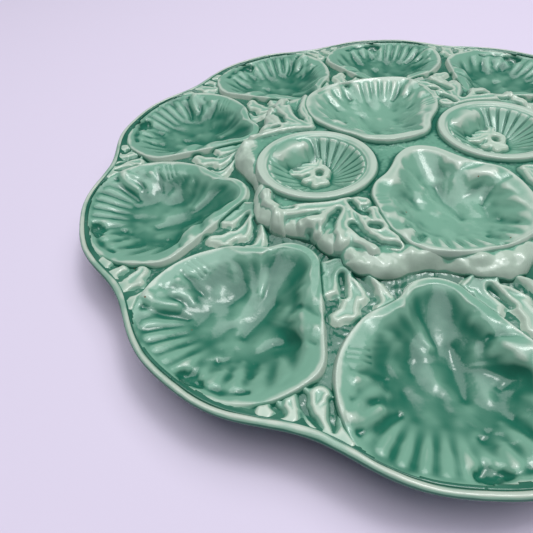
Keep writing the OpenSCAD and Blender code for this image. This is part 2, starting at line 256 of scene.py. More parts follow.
# %% Height of the two grounds
RIM_LIP = 3.0  # width of the rim's upright lip
RIM_BANK, WALL_BANK = 2.2, 3.4  # rise of the ground beside the rim and beside the raised centre
SHOULDER_R = 9.0  # radius of the bend from the top of the centre down to its wall
CORD_LUMPS = strokes([
    ([(-385, -320), (-372, -338)], 30, 1.6),
    ([(-432, -283), (-424, -296)], 14, 1.5),
    ([(-283, -470), (-262, -478)], 28, 2.0),
    ([(-205, -478), (-198, -486)], 14, 1.6),
    ([(-158, -482), (-146, -486)], 14, 1.6),
    ([(-345, -420), (-318, -432)], 20, 1.6),
    ([(-365, -375), (-345, -395)], 14, -1.8),
    ([(-490, 160), (-480, 210)], 16, 1.4)])


def outer_ground(x, y, stippled=False):
    """Height of the ground among the outer wells at a drawn place in millimetres."""
    radius, angle = polar(x, y)
    inside = edge_radius(angle) - RIM_LIP - radius
    z = OUTER_GROUND + RIM_BANK * (1 - smooth(-0.5, 6.0, inside))
    z = z + WALL_BANK * (1 - smooth(-3.0, 8.0, radius - centre_edge(angle)))
    if stippled:
        quiet = smooth(0.0, 4.0, inside)
        z = z + quiet * (0.24 * noise(x, y, 1.7, 3) + 0.10 * noise(x, y, 1.0, 4) - 0.2)
    return z


def centre_ground(x, y, stippled=False):
    """Height of the ground on the raised centre, with the lumpy cord along its edge."""
    radius, angle = polar(x, y)
    inside = centre_edge(angle) - radius
    knobs = 3.0 * np.hypot(noise(x, y, 9.0, 8), 0.18) + 0.8 * noise(x, y, 4.6, 9) - 1.2
    z = CENTRE_GROUND + (1 - smooth(4.0, 18.0, inside)) * knobs
    out = np.clip(1 - inside / SHOULDER_R, 0, 1)
    z = z - SHOULDER_R * (1 - np.sqrt(1 - out**2))
    half = np.where(x > 0, -1, 1)  # the right half repeats the left one half a turn on
    u, v = half * x / DRAWN_R, half * y / DRAWN_R
    z = z + sum(stroke(u, v, *lump) for lump in CORD_LUMPS)
    if stippled:
        z = z + 0.17 * noise(x, y, 1.7, 5) + 0.08 * noise(x, y, 1.0, 6) - 0.2
    return np.minimum(z, CENTRE_CREST + OVER_CREST)


# %% [markdown]
# ## The shell relief of an oyster well
# All twelve oyster wells carry the same relief, drawn once in the outer well's own frame: u to
# the right, v from the plate's middle outwards. The bowl falls from a round crest. Flutes fan
# out from a focus near the hinge, each at a given angle, since a real shell isn't even. Strokes
# then add what is special: the hinge fold, the dark pit at the rim, the folds on the right and
# the soft swellings of the floor.

# %% Flutes and strokes of the shell
FOCUS = (0.0, 0.66)
FLUTE_STRENGTH = 0.85
FLUTE_ANGLES = [-30, -4, 4, 10, 15, 20, 26, 33, 42, 51, 59, 66, 73, 80, 87, 95,
                103, 112, 122, 134, 147, 161, 176, 200]
FLUTE_HEIGHTS = [0.0, 0.0, 0.1, 0.1, 0.1, 0.1, 0.1, 0.2, 0.4, 0.6, 0.7, 0.6, 0.7, 0.6, 0.5, 0.5,
                 0.5, 0.5, 0.4, 0.4, 0.3, 0.2, 0.1, 0.0]
SHELL_STROKES = strokes([
    ([(-40, 966), (0, 970)], 23, -3.4),
    ([(-22, 950), (-26, 895)], 17, -1.2),
    ([(-55, 968), (-100, 954), (-145, 920)], 12, -1.1),
    ([(205, 905), (120, 850)], 16, -1.4),
    ([(225, 880), (200, 878), (160, 845)], 20, 1.5),
    ([(215, 838), (165, 828)], 12, -0.5),
    ([(200, 795), (140, 808)], 20, 0.9),
    ([(212, 770), (140, 772)], 11, -0.5),
    ([(222, 746), (170, 744)], 5, -0.35),
    ([(220, 733), (170, 731)], 5, -0.35),
    ([(214, 719), (172, 718)], 5, -0.35),
    ([(-185, 744), (-130, 748), (-95, 775)], 13, -0.8),
    ([(-160, 712), (-95, 705)], 24, 1.2),
    ([(-150, 678), (-90, 672)], 12, -0.6),
    ([(-110, 648), (-65, 632)], 22, 0.9),
    ([(-20, 800), (-16, 680)], 26, -1.1),
    ([(-66, 800), (-60, 690)], 26, 0.8),
    ([(-85, 860), (-90, 790)], 26, -0.5),
    ([(30, 765), (45, 700)], 30, 0.9),
    ([(78, 740), (82, 680)], 26, -0.6),
    ([(115, 740), (125, 680)], 30, 0.7),
    ([(30, 860), (25, 800)], 26, -0.5),
    ([(-140, 760), (-115, 790)], 30, -0.8),
    ([(-20, 830), (0, 850)], 30, 0.5),
    ([(88, 850), (100, 800)], 26, -0.7),
    ([(-50, 905), (-45, 880)], 20, -0.7),
    ([(-82, 895), (-74, 860)], 16, 0.5),
    ([(-115, 880), (-100, 850)], 18, -0.7),
    ([(30, 678), (52, 642), (90, 598), (97, 575)], 18, 1.0)])


def flutes(u, v):
    """Height of the fan of flutes above its mean, in millimetres."""
    angle = np.degrees(np.arctan2(v - FOCUS[1], u - FOCUS[0]))
    angle = np.where(angle < -90, angle + 360, angle)
    phase = np.interp(angle, FLUTE_ANGLES, np.arange(len(FLUTE_ANGLES)))
    height = np.interp(angle, FLUTE_ANGLES, FLUTE_HEIGHTS)
    wave = np.cos(2 * math.pi * phase)
    return FLUTE_STRENGTH * height * wave * (1 + 0.6 * noise(u, v, 0.05, 12))


CREST_W = 1.7  # from the crest's outer foot to its top, in millimetres
BOWL_DEPTH = 11.0


def beak_steps(u, v):
    """The shelf behind the hinge and the higher floor on its right, in millimetres."""
    across = ((v - 0.575) * 0.067 + (u - 0.097) * 0.103) / 0.123  # beyond the fold, to the right
    right = smooth(-0.012, 0.010, across) * (1 - smooth(0.06, 0.12, across))
    right = right * smooth(0.560, 0.600, v) * (1 - smooth(0.67, 0.72, v))
    shelf = (1 - smooth(0.590, 0.740, v)) * (1 - smooth(0.04, 0.11, np.abs(u + 0.01)))
    return 1.7 * right + 2.8 * shelf * (1 - smooth(-0.012, 0.010, across))


def shell_drop(u, v, way, room):
    """Height of the shell relief below its crest. u and v are in the outer well's frame."""
    inside = (1 - way) * room
    lip = CREST_W + around(LIP_WIDTH, np.arctan2(v - OUTER_MIDDLE[1], u - OUTER_MIDDLE[0]))
    lip_way = 1 - lip / room
    fall = BOWL_DEPTH * (1 - (way / lip_way) ** 2.6)
    bowl = (fall + np.hypot(fall, 1.6)) / 2  # zero on the lip, with a soft bend into the bowl
    beak = 1 - smooth(0.60, 0.72, v)  # the crest is broad and round about the hinge
    slope = 1.3 * smooth(CREST_W - 1.2 + beak, lip + beak, inside) ** (0.7 + 0.8 * beak)
    fan = flutes(u, v) * smooth(0.50, 0.80, way) * (1 - smooth(-0.04, 0.04, way - lip_way))
    relief = beak_steps(u, v) + sum(stroke(u, v, *s) for s in SHELL_STROKES)
    return fan + relief * smooth(0.8, 3.6, inside) - bowl - slope


def crest_rise(inside):
    """Near 0 at the foot of the crest's outer flank and 1 on its top, in a soft double bend."""
    return smooth(-0.6, CREST_W, inside)


# %% [markdown]
# ## Blanks
# A well starts as a thick disc: a grid bent round its middle, over the top and back under. Rings
# lie close together at the crest, where the relief is fine. The blank has radius 1, top +1 and
# underside -1, so each point knows its share of the way out, its angle and its side, and
# carving only has to move it.

# %% Blanks bent from a grid
def new_mesh(name, bm):
    mesh = bpy.data.meshes.new(name)
    bm.to_mesh(mesh)
    bm.free()
    return mesh


def places(mesh):
    co = np.empty(len(mesh.vertices) * 3)
    mesh.vertices.foreach_get("co", co)
    return co.reshape(-1, 3)


def bent_round(section, steps):
    """A grid bent round the middle: each row goes round on one (radius, height) of a section."""
    bm = bmesh.new()
    rows = len(section) - 1
    bmesh.ops.create_grid(bm, x_segments=steps, y_segments=rows, size=0.5)
    for v in bm.verts:
        angle = (v.co.x + 0.5) * 2 * math.pi
        radius, height = section[round((v.co.y + 0.5) * rows)]
        v.co = (radius * math.cos(angle), radius * math.sin(angle), height)
    bmesh.ops.remove_doubles(bm, verts=bm.verts[:], dist=1e-5)
    bmesh.ops.recalc_face_normals(bm, faces=bm.faces[:])
    return bm


WELL_STEPS = 300
WELL_RINGS = np.concatenate([np.linspace(0, 0.55, 24)[:-1], np.linspace(0.55, 0.88, 36)[:-1],
                             np.linspace(0.88, 1.0, 26)])
UNDER_RINGS = np.linspace(1, 0, 16)
well_blank = new_mesh("well_blank", bent_round(
    [(r, 1) for r in WELL_RINGS] + [(r, -1) for r in UNDER_RINGS], WELL_STEPS))
print("well blank", len(well_blank.polygons), "faces")

# %% [markdown]
# ## Dressing a piece
# Every piece is finished the same way: its carved places are written into its mesh in metres,
# it is shaded smooth, rides on the plate's one body, stands for its CAD nodes and takes its
# finish from their slot.

# %% Dress a carved mesh as a piece
pieces = []


def dress(name, mesh, co, slot, *nodes):
    """Makes a mesh, whose places are given in millimetres, the piece of its nodes."""
    mesh.vertices.foreach_set("co", (co * MM).ravel())
    mesh.update()
    mesh.shade_smooth()
    obj = bpy.data.objects.new(name, mesh)
    bpy.context.scene.collection.objects.link(obj)
    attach(obj, "root")
    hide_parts(*nodes)
    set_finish(obj, slot)
    pieces.append(obj)
    return obj


def dress_shell(node, co):
    dress(node + "_shell", well_blank.copy(), co, "glaze_well", node)


# %% Carve an oyster well
def carved_blank(x, y, top_z, under_z, band_z, way):
    """Places of a blank whose top is carved. Its underside rounds up to the band at its edge."""
    under = under_z + (band_z - under_z) * way**3
    upper = places(well_blank)[:, 2] > 0
    return np.stack([x, y, np.where(upper, top_z, np.minimum(under, top_z - MIN_CLAY))], 1)


def carve_oyster(middle, table, crest, under_z, band, ground, to_shell, seed):
    """Places of a carved oyster well in millimetres, in the frame of its own drawing."""
    way, angle = polar(*places(well_blank)[:, :2].T)
    reach = around(table, angle)
    u, v = from_polar(way * reach, angle)
    u, v = middle[0] + u, middle[1] + v
    room = well_way(u, v, middle, table)[1]
    x, y = u * DRAWN_R, v * DRAWN_R
    inside = (1 - way) * room
    foot = ground(x, y) - EDGE_DIP
    wobble = 0.25 * noise(x, y, 14.0, seed) * smooth(0, 4, inside)
    carved = foot + (crest(x, y) - foot) * crest_rise(inside) + wobble
    carved = np.minimum(carved + shell_drop(*to_shell(u, v), way, room), crest(x, y) + OVER_CREST)
    return carved_blank(x, y, carved, under_z, band(x, y), way)


def flat(z):
    """A height rule that is the same everywhere."""
    return lambda x, y: np.full(x.shape, z)


def beside_rim(x, y):
    """1 at the edge of a lobe, whose tip points along +y, and 0 well inside it."""
    radius, angle = polar(x, y)
    return 1 - smooth(4, 16, edge_radius(angle - math.pi / 2) - radius)


def outer_crest(x, y):
    """The crest of an outer well comes down to the rim where the two run together."""
    return OUTER_CREST - 1.5 * beside_rim(x, y)


def outer_band(x, y):
    """The edge of an outer well's underside, where the clay is thin beside the rim."""
    return GROUND_UNDER + 6.0 * beside_rim(x, y)


def ground_along_v(x, y):
    """The ground's height in the outer well's frame, where the lobe's tip points along +v."""
    return outer_ground(y, -x)


outer_well = carve_oyster(OUTER_MIDDLE, OUTER_REACH, outer_crest, OUTER_UNDER, outer_band,
                          ground_along_v, lambda u, v: (u, v), seed=21)
for i in range(WELL_COUNT):
    x, y = turned(*outer_well[:, :2].T, i * PITCH - math.pi / 2)
    dress_shell(f"outer_well_{i + 1:02d}", np.stack([x, y, outer_well[:, 2]], 1))

HINGE_V = 0.54  # the hinge's end in the outer well's frame; the centre wells are drawn larger
centre_well = (flat(CENTRE_CREST), CENTRE_UNDER, flat(CENTRE_UNDER + CENTRE_BAND), centre_ground)
dress_shell("centre_well_back", carve_oyster(
    BACK_MIDDLE, BACK_REACH, *centre_well,
    lambda u, v: (u, HINGE_V + (v - 0.03) * 0.924), seed=22))
dress_shell("centre_well_front", carve_oyster(
    FRONT_MIDDLE, FRONT_REACH, *centre_well,
    lambda u, v: (-u, HINGE_V + (-0.01 - v) * 0.895), seed=23))
print("oyster wells carved")

# %% [markdown]
# ## Sauce wells
# Each round sauce well has a broad smooth ring and a scallop shell inside it. Flat ribs with
# narrow grooves between them fan out to the right and end in scallops, softer ones lie on the
# left, and a smooth knob stands at the upper left.

# %% Carve a sauce well
SAUCE_CUP = 0.155  # radius of the scallop inside the ring
SAUCE_DEPTH, SAUCE_CLAY = 12.0, 5.0  # of the cup and of the clay under it, in millimetres
SAUCE_FOCUS = (0.025, -0.005)
SAUCE_GROOVES = [80, 66, 51, 35, 19, 3, -13, -29, -46, -64]
SAUCE_LEFT_GROOVES = [160, 177, 194, 210, 226]
SAUCE_STROKES = strokes([([(-88, 78), (-48, 100), (-5, 112)], 44, 5.4)])
RIB_HEIGHT = 1.2


def grooves(angle, places_deg, width_deg):
    """1 in the grooves at the given angles and 0 on the ribs between them."""
    off = np.min([np.abs(angle - place) for place in places_deg], axis=0)
    return bell(off, width_deg)


def carve_sauce(middle, seed):
    way, angle = polar(*places(well_blank)[:, :2].T)
    u, v = from_polar(way * SAUCE_R, angle)
    inside = (1 - way) * SAUCE_R * DRAWN_R
    x, y = (middle[0] + u) * DRAWN_R, (middle[1] + v) * DRAWN_R
    foot = centre_ground(x, y) - EDGE_DIP
    t = way * SAUCE_R / SAUCE_CUP
    fan = np.degrees(np.arctan2(v - SAUCE_FOCUS[1], u - SAUCE_FOCUS[0]))
    right = grooves(fan, SAUCE_GROOVES, 1.9) * (fan > -70) * (fan < 84)
    left_fan = np.mod(np.degrees(angle), 360)
    left = grooves(left_fan, SAUCE_LEFT_GROOVES, 3.2) * (left_fan > 152) * (left_fan < 235)
    scallop = 0.93 - 0.045 * np.maximum(right, left)
    ribs = RIB_HEIGHT * smooth(0.30, 0.66, t) * (1 - smooth(-0.012, 0.012, t - scallop))
    ribbed = smooth(-78, -68, fan) * (1 - smooth(80, 90, fan))
    ribbed = np.maximum(ribbed, smooth(150, 160, left_fan) * (1 - smooth(230, 242, left_fan)))
    ribs = ribs * ribbed * (1 - np.maximum(right, 0.7 * left))
    cup = -SAUCE_DEPTH * (1 - np.clip(t, 0, 1) ** 2.4)
    knob = sum(stroke(u, v, *s) for s in SAUCE_STROKES) * (1 - smooth(0.88, 1.0, t))
    inner = np.minimum(cup + ribs * (1 - smooth(0.5, 2.5, knob)) + knob, -0.6)
    ring = np.where(t < 1, inner, -0.5 * bell(inside - 5.4, 0.9))
    carved = foot + (CENTRE_CREST - foot) * crest_rise(inside) + ring
    carved = carved + 0.2 * noise(x, y, 8.0, seed) * smooth(0, 4, inside)
    under_z = CENTRE_CREST - SAUCE_DEPTH - SAUCE_CLAY
    return carved_blank(x, y, carved, under_z, CENTRE_UNDER + CENTRE_BAND, way)


for k, (side, middle) in enumerate(SAUCE_MIDDLES.items()):
    dress_shell(f"sauce_well_{side}", carve_sauce(middle, seed=30 + k))
print("sauce wells carved")

# %% [markdown]
# ## The ground between the outer wells
# Ten webs of ground reach from the raised centre to the rim, each between two wells. A web is a
# grid bent into a slice of the ring. Its cells under the neighbouring wells are deleted, a
# little inside their outlines, where the clay of the wells hides the cut edge, and the rest is
# extruded into a slab and carved. That keeps one even mesh for the stipple.

# %% Sheets with windows, made into slabs
def inside_outer_well(x, y, k):
    """Millimetres inside the outline of outer well k at a drawn place in millimetres."""
    x, y = turned(x, y, math.pi / 2 - k * PITCH)
    return inside_well(x / DRAWN_R, y / DRAWN_R, OUTER_MIDDLE, OUTER_REACH)


def inside_centre_wells(x, y):
    """Millimetres inside the nearest of the four centre wells."""
    wells = [(BACK_MIDDLE, BACK_REACH), (FRONT_MIDDLE, FRONT_REACH)]
    wells += [(middle, SAUCE_REACH) for middle in SAUCE_MIDDLES.values()]
    return np.max([inside_well(x / DRAWN_R, y / DRAWN_R, *well) for well in wells], axis=0)


def slab(bm, gone):
    """Deletes the faces that are gone and extrudes the rest: the upper side has z = 1."""
    bm.faces.ensure_lookup_table()
    bmesh.ops.delete(bm, geom=[bm.faces[i] for i in np.flatnonzero(gone)], context="FACES")
    grown = bmesh.ops.extrude_face_region(bm, geom=bm.faces[:], use_keep_orig=True)["geom"]
    upper = [g for g in grown if isinstance(g, bmesh.types.BMVert)]
    bmesh.ops.translate(bm, verts=upper, vec=(0, 0, 1))
    bmesh.ops.recalc_face_normals(bm, faces=bm.faces[:])
    return bm


def face_middles(bm):
    return np.array([f.calc_center_median() for f in bm.faces])


HIDDEN_EDGE = 2.0  # how far a slab reaches in under a well's crest, in millimetres
UNDER_SHOULDER = 1.5  # how far the ground reaches in under the raised centre
WEB_COLUMNS, WEB_ROWS = 150, 130


def web_place(grid_x, grid_y, k):
    """Place in millimetres of a point of the unit grid in web k."""
    angle = (k + 0.5 + grid_x) * PITCH
    low, high = centre_edge(angle) - UNDER_SHOULDER, edge_radius(angle) - RIM_LIP
    return from_polar(low + (high - low) * (grid_y + 0.5), angle)


for k in range(WELL_COUNT):
    bm = bmesh.new()
    bmesh.ops.create_grid(bm, x_segments=WEB_COLUMNS, y_segments=WEB_ROWS, size=0.5)
    middles = face_middles(bm)
    x, y = web_place(middles[:, 0], middles[:, 1], k)
    covered = np.maximum(inside_outer_well(x, y, k), inside_outer_well(x, y, k + 1))
    slab(bm, covered > HIDDEN_EDGE)
    mesh = new_mesh(f"ground_web_{k + 1:02d}_stipple", bm)
    co = places(mesh)
    x, y = web_place(co[:, 0], co[:, 1], k)
    out = co[:, 1]  # the underside rises towards the rim, where the clay is thin
    under = GROUND_UNDER + 0.3 + 4.7 * smooth(-0.15, 0.35, out) + 1.5 * smooth(0.42, 0.5, out)
    z = np.where(co[:, 2] > 0.5, outer_ground(x, y, stippled=True), under)
    dress(mesh.name, mesh, np.stack([x, y, z], 1), "glaze_ground", f"ground_web_{k + 1:02d}")
print("ground webs carved")

# %% [markdown]
# ## The raised centre
# The centre stands on a wall. Its sheet is bent round from a grid: over the top, round the
# shoulder and down the wall. The places under the four centre wells are cut out as for the webs,
# and the slab's inner side follows as the underside and the inside of the wall.

# %% Raised centre
WALL_W, MIN_WALL = 6.0, 3.0
CENTRE_STEPS = 640
BEND_END, WALL_END = 1.2, 1.5  # stations of the section; its top ends at station 1
centre_rings = np.concatenate([np.linspace(0, 1, 130)[:-1], np.linspace(1, BEND_END, 22)[:-1],
                               np.linspace(BEND_END, WALL_END, 9)])


def centre_outer(t, angle):
    """Radius and fall of the centre's outer face at a station of its section."""
    flat_r = centre_edge(angle) - SHOULDER_R
    turn = np.clip((t - 1) / (BEND_END - 1), 0, 1) * math.pi / 2
    radius = np.where(t < 1, t * flat_r, flat_r + SHOULDER_R * np.sin(turn))
    return radius, np.clip((t - BEND_END) / (WALL_END - BEND_END), 0, 1)


bm = bent_round([(t, 0) for t in centre_rings], CENTRE_STEPS)
middles = face_middles(bm)
t, angle = polar(*middles[:, :2].T)
covered = inside_centre_wells(*from_polar(centre_outer(t, angle)[0], angle))
slab(bm, covered > HIDDEN_EDGE)
mesh = new_mesh("raised_centre_stipple", bm)
co = places(mesh)
t, angle = polar(*co[:, :2].T)
radius, fall = centre_outer(t, angle)
top_z = centre_ground(*from_polar(radius, angle), stippled=True)
top_z = top_z + (GROUND_UNDER - top_z) * fall
inner_r = np.minimum(radius - MIN_WALL, CENTRE_R - WALL_W)
inner_z = np.minimum(CENTRE_GROUND - CENTRE_T, top_z - MIN_WALL)
inner_z = inner_z + (GROUND_UNDER - inner_z) * fall
outer_side = co[:, 2] > 0.5
radius = np.where(outer_side, radius, inner_r)
co = np.stack([*from_polar(radius, angle), np.where(outer_side, top_z, inner_z)], 1)
dress(mesh.name, mesh, co, "glaze_ground", "raised_centre")
print("raised centre", len(mesh.polygons), "faces")

# %% [markdown]
# ## Rolled rim and foot ring
# The rim is a lip that stands up at the edge and slopes away inwards. It is drawn in between
# the lobes and a little uneven, as a wet edge is after a thumb has gone round it. The foot is
# turned: its section is a closed outline with bevelled toes, spun round.

# %% Rolled rim
RIM_STEPS, RIM_SIDES = 720, 32
RIM_W, RIM_H = 4.8, 3.6
RING_R = 4  # radius of the blank ring, whose section has radius 1
section = [2 * math.pi * k / RIM_SIDES for k in range(RIM_SIDES + 1)]
mesh = new_mesh("rolled_rim_edge",
                bent_round([(RING_R + math.cos(a), math.sin(a)) for a in section], RIM_STEPS))
co = places(mesh)
radius, angle = polar(*co[:, :2].T)
section = np.arctan2(co[:, 2], radius - RING_R)
across, rise = np.cos(section), np.sin(section)
inward = smooth(-0.6 + 0.7 * lobe_notch(angle), 0.95, -across)
thumb = noise(angle * 60, section, 2.3, 41)
radius = edge_radius(angle) - RIM_W / 2 + across * RIM_W / 2 + 0.03 * thumb - 0.05
z = RIM_TOP - 0.3 - RIM_H / 2 * (1 - rise)
z = z - (2.0 - 1.2 * lobe_notch(angle)) * inward * (rise > 0)
z = z + 0.28 * thumb * smooth(0.2, 1, rise)
co = np.stack([*from_polar(radius, angle), z], 1)
dress(mesh.name, mesh, co, "glaze_rim", "rolled_rim")

# %% Foot ring
FOOT_OUTER, FOOT_W = CENTRE_R - 1.0, 5.0
bm = bmesh.new()
foot_top = GROUND_UNDER + 0.8  # a little inside the clay above it
outline = [(CENTRE_R, foot_top), (CENTRE_R - WALL_W, foot_top),
           (FOOT_OUTER - FOOT_W, 0), (FOOT_OUTER, 0)]
verts = [bm.verts.new((r, 0, z)) for r, z in outline]
bm.faces.new(verts)
bmesh.ops.bevel(bm, geom=verts[2:], offset=1.4, segments=5, profile=0.5,
                affect="VERTICES", material=-1)
bmesh.ops.delete(bm, geom=bm.faces[:], context="FACES_ONLY")
bmesh.ops.spin(bm, geom=bm.verts[:] + bm.edges[:], cent=(0, 0, 0), axis=(0, 0, 1),
               angle=2 * math.pi, steps=240, use_merge=True)
bmesh.ops.recalc_face_normals(bm, faces=bm.faces[:])
mesh = new_mesh("foot_ring_turned", bm)
dress(mesh.name, mesh, places(mesh), "glaze_foot", "foot_ring")
print("rim and foot made")

# %% [markdown]
# ## Seaweed
# The weed fills the hollows between the wells. It was modelled on the mould as broad soft
# leaves, which run into each other and into the crests, and then cut apart by narrow dark slots.
# A leaf is a chain of round places, each with its half width, and so is a slot. Each spray is a
# fine grid over its patch, kept where the leaves are, extruded and carved, with a skirt that
# runs down under the ground. The sprays by the rim come in two kinds, which take turns.

# %% Leaves and slots as chains of (u, v, half width), in thousandths of the drawn radius
RIM_LEAVES_A = thousandths([
    [(-60, 940, 18), (-38, 905, 12), (-28, 880, 7)],
    [(-12, 940, 11), (-14, 908, 10)],
    [(2, 925, 10), (14, 905, 11), (8, 878, 18)],
    [(52, 935, 13), (56, 908, 13), (46, 880, 8)],
    [(100, 945, 12), (90, 922, 8)]])
RIM_SLOTS_A = thousandths([
    [(-40, 942, 5), (-28, 908, 7), (-18, 880, 5)],
    [(-16, 946, 4), (12, 930, 6), (31, 910, 8), (40, 890, 9)],
    [(64, 944, 8), (84, 932, 6)]])
RIM_LEAVES_B = thousandths([
    [(-62, 945, 12), (-48, 910, 10)],
    [(0, 940, 14), (12, 915, 16), (28, 888, 17)],
    [(-2, 920, 9), (-6, 905, 7)],
    [(56, 950, 11), (66, 926, 11)],
    [(110, 955, 14), (126, 945, 12)]])
RIM_SLOTS_B = thousandths([
    [(-44, 952, 4), (-28, 942, 10), (-26, 915, 8)],
    [(26, 944, 6), (42, 936, 9), (48, 900, 6)],
    [(88, 944, 7), (92, 926, 10)]])
WEB_LEAVES = thousandths([
    [(40, 545, 14), (22, 585, 24), (13, 620, 17), (12, 652, 16), (30, 678, 12)],
    [(10, 590, 12), (-5, 598, 13)],
    [(10, 645, 12), (2, 656, 12)],
    [(78, 548, 18), (80, 588, 22), (78, 616, 10)],
    [(85, 595, 14), (95, 600, 12)],
    [(70, 598, 12), (64, 602, 10)],
    [(30, 538, 13), (-20, 560, 14), (-55, 580, 14), (-78, 598, 12)],
    [(-62, 590, 10), (-56, 618, 9)],
    [(20, 535, 18), (70, 530, 20), (110, 540, 14)]])
WEB_SLOTS = thousandths([
    [(-40, 600, 8), (-22, 575, 9), (2, 558, 6), (22, 548, 3)],
    [(36, 608, 7), (44, 582, 7), (56, 555, 4)]])
CENTRE_LEAVES = thousandths([
    [(-275, -205, 12), (-330, -208, 14), (-390, -200, 18), (-445, -188, 15)],
    [(-290, -215, 12), (-345, -238, 14), (-385, -252, 18)],
    [(-383, -262, 12), (-390, -284, 9)],
    [(-400, -242, 10), (-420, -248, 9)],
    [(-300, -235, 12), (-318, -280, 14), (-330, -315, 18), (-337, -340, 12)],
    [(-335, -335, 10), (-352, -352, 8)],
    [(-292, -250, 10), (-308, -320, 10), (-306, -352, 13), (-290, -378, 10), (-284, -400, 8)],
    [(-285, -215, 12), (-268, -255, 10), (-262, -300, 12), (-248, -345, 22), (-232, -375, 22),
     (-225, -398, 12)],
    [(-226, -260, 12), (-230, -330, 12)],
    [(-250, -213, 17), (-235, -220, 14)],
    [(-468, -190, 10), (-488, -232, 15), (-485, -272, 13)],
    [(-490, -248, 10), (-510, -256, 9)],
    [(-478, -90, 12), (-486, -130, 9), (-470, -160, 10)],
    [(-250, 215, 10), (-300, 232, 12), (-360, 232, 12), (-420, 228, 17), (-447, 213, 12)],
    [(-320, 240, 10), (-360, 262, 10), (-385, 295, 11)],
    [(-378, 286, 8), (-412, 284, 11)],
    [(-384, 300, 9), (-392, 335, 12)],
    [(-355, 270, 10), (-362, 310, 11), (-372, 345, 11)],
    [(-310, 250, 8), (-338, 290, 8), (-352, 340, 12), (-350, 378, 11)],
    [(-265, 225, 10), (-292, 280, 15), (-302, 330, 21), (-300, 380, 23), (-306, 420, 16)],
    [(-300, 400, 12), (-276, 440, 10)],
    [(-245, 235, 8), (-238, 290, 13), (-238, 340, 14), (-224, 390, 14), (-206, 430, 10)]])
CENTRE_SLOTS = thousandths([
    [(-425, -222, 5), (-400, -229, 7), (-375, -231, 7)],
    [(-315, -232, 4), (-340, -258, 11), (-362, -285, 8)],
    [(-296, -302, 11), (-287, -345, 8), (-262, -385, 8), (-222, -406, 6)],
    [(-270, -208, 4), (-266, -240, 7), (-252, -262, 10)],
    [(-252, -316, 8), (-242, -322, 9)],
    [(-452, -171, 4), (-428, -178, 5)],
    [(-338, 350, 5), (-324, 312, 6), (-327, 272, 5)],
    [(-262, 272, 5), (-268, 310, 6), (-260, 350, 6), (-240, 390, 5), (-218, 435, 5)],
    [(-287, 388, 4), (-268, 422, 6)],
    [(-394, 251, 5), (-352, 249, 4)]])
SPRIG_LEAVES = thousandths([
    [(30, 90, 5), (36, 68, 10), (20, 45, 11), (0, 18, 11), (-5, -10, 12), (0, -36, 13)],
    [(20, 45, 11), (-10, 55, 12), (-37, 55, 11)],
    [(0, 32, 11), (-40, 22, 13), (-66, 28, 10), (-72, 50, 9)],
    [(-5, -10, 10), (-38, -17, 9)],
    [(0, -30, 11), (-16, -47, 9)],
    [(0, -30, 11), (16, -43, 9)],
    [(0, -20, 8), (28, -13, 7), (42, 12, 8), (34, 32, 10)]])
SPRIG_SLOTS = thousandths([
    [(12, 0, 6), (17, 14, 6)]])
MELT = 0.9  # how softly two chains run together, in millimetres
FEATHER = 1.2  # how far a leaf's blank reaches out beyond its outline
LEAF_SWELL, SLOT_SWELL = 0.8, 0.6  # how much wider leaves and slots are than drawn
UNDER_CREST = 1.2  # how far weed reaches in under a well's crest
SKIRT = 1.6  # how far weed runs down under the ground
FAR_OUTSIDE = -99.0  # stands for a distance inside where there is nothing to be inside of


def chain_inside(u, v, chain):
    """Millimetres inside a chain of round places."""
    best = np.full(np.shape(u), FAR_OUTSIDE)
    for (ax, ay, wa), (bx, by, wb) in zip(chain, chain[1:]):
        d, along = to_line(u, v, [(ax, ay), (bx, by)])
        best = np.maximum(best, (wa + (wb - wa) * along - d) * DRAWN_R)
    return best


def leaves_inside(u, v, leaves):
    """Millimetres inside a spray, where the leaves run softly together."""
    total = sum(np.exp(np.maximum(chain_inside(u, v, chain), -8) / MELT) for chain in leaves)
    return MELT * np.log(total)


def inside_edge(u, v):
    """Millimetres inside the plate's edge, in the plate's frame or in that of a notch."""
    radius, angle = polar(u, v)
    return edge_radius(angle) - radius * DRAWN_R


